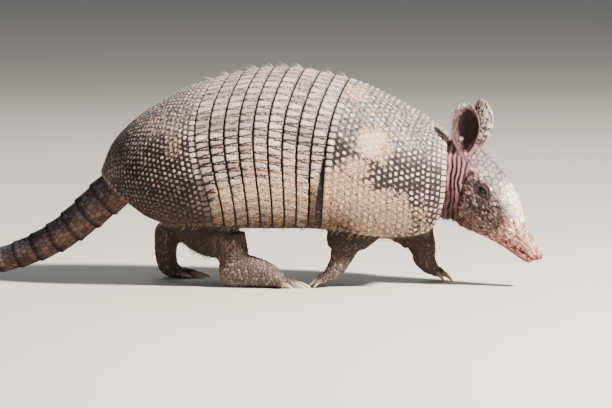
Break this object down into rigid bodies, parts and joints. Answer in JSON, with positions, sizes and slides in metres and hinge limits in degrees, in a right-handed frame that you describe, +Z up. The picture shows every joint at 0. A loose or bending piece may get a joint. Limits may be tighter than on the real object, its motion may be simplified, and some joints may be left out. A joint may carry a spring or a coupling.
{
  "type": "nine-banded armadillo",
  "caption": "Life-size still model of a nine-banded armadillo walking with its nose to the ground, its tail laid along the floor.",
  "frame": {"origin": "middle of the animal's box on the floor that it stands on", "axes": "+X forward, towards the nose; +Y the animal's left; +Z up"},
  "size_m": [0.6712, 0.1384, 0.1885],
  "materials": {
    "shell": "dusty horn scales on grey-brown bone, with dried mud",
    "small_scales": "dull grey-brown scales",
    "skin": "wrinkled pink and grey-brown skin with thin pale hair",
    "ear_skin": "thin pebbled skin, dark reddish inside",
    "claw": "worn yellow-brown horn",
    "eye": "wet black-brown"
  },
  "bodies": {
    "root": {"trunk": "skin", "pelvic_shield": "shell", "band_1": "shell", "band_2": "shell", "band_3": "shell", "band_4": "shell", "band_5": "shell", "band_6": "shell", "band_7": "shell", "band_8": "shell", "band_9": "shell", "scapular_shield": "shell", "neck": "skin", "tail_1": "small_scales", "tail_2": "small_scales", "tail_3": "small_scales", "tail_4": "small_scales", "head": "skin", "head_shield": "shell", "eye_left": "eye", "ear_left": "ear_skin", "eye_right": "eye", "ear_right": "ear_skin", "hind_right_upper": "skin", "hind_right_lower": "skin", "hind_right_foot": "small_scales", "hind_right_claw_1": "claw", "hind_right_claw_2": "claw", "hind_right_claw_3": "claw", "hind_right_claw_4": "claw", "hind_right_claw_5": "claw", "hind_left_upper": "skin", "hind_left_lower": "skin", "hind_left_foot": "small_scales", "hind_left_claw_1": "claw", "hind_left_claw_2": "claw", "hind_left_claw_3": "claw", "hind_left_claw_4": "claw", "hind_left_claw_5": "claw", "fore_right_upper": "skin", "fore_right_lower": "skin", "fore_right_foot": "small_scales", "fore_right_claw_1": "claw", "fore_right_claw_2": "claw", "fore_right_claw_3": "claw", "fore_right_claw_4": "claw", "fore_left_upper": "skin", "fore_left_lower": "skin", "fore_left_foot": "small_scales", "fore_left_claw_1": "claw", "fore_left_claw_2": "claw", "fore_left_claw_3": "claw", "fore_left_claw_4": "claw"}
  },
  "joints": []
}
